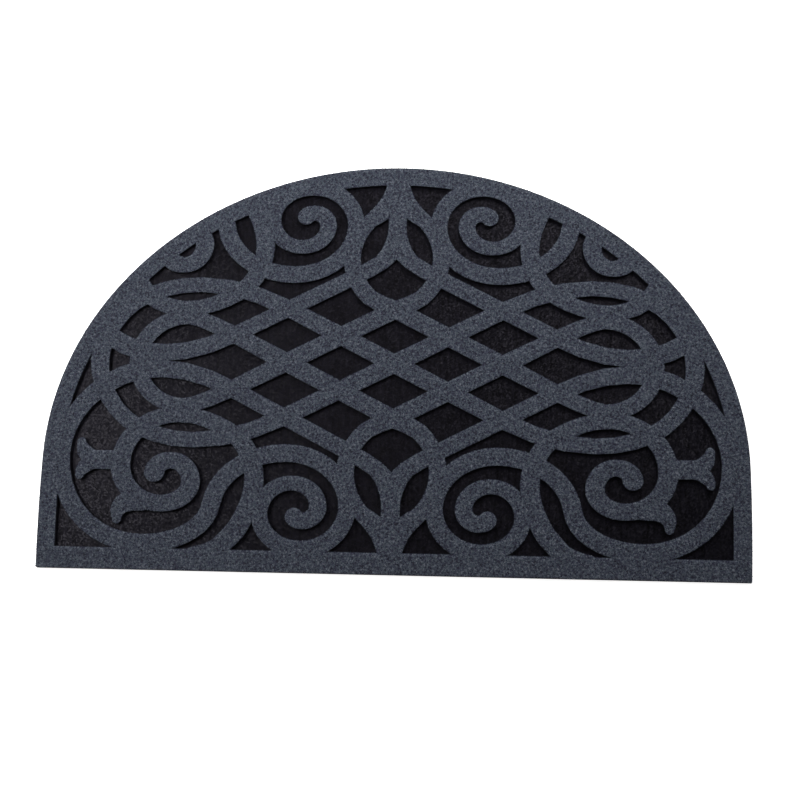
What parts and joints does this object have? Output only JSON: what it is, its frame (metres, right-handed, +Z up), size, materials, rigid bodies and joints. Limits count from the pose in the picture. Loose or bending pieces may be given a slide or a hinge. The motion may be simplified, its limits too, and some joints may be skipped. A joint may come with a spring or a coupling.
{
  "type": "half-moon doormat",
  "caption": "Half-moon doormat: a raised openwork face of heather fibre, in scrolls and crossing bars, on a flat crumb-rubber backing.",
  "frame": {"origin": "centre of the mat's box at the underside, on the floor", "axes": "+X along the straight edge, +Y from the straight edge towards the arc, +Z up through the face"},
  "size_m": [0.75, 0.45, 0.008],
  "materials": {
    "crumb_rubber": "matt moulded crumb rubber",
    "heather_fibre": "short heather needled fibre"
  },
  "bodies": {
    "root": {"rubber_backing": "crumb_rubber", "fibre_face": "heather_fibre"}
  },
  "joints": []
}
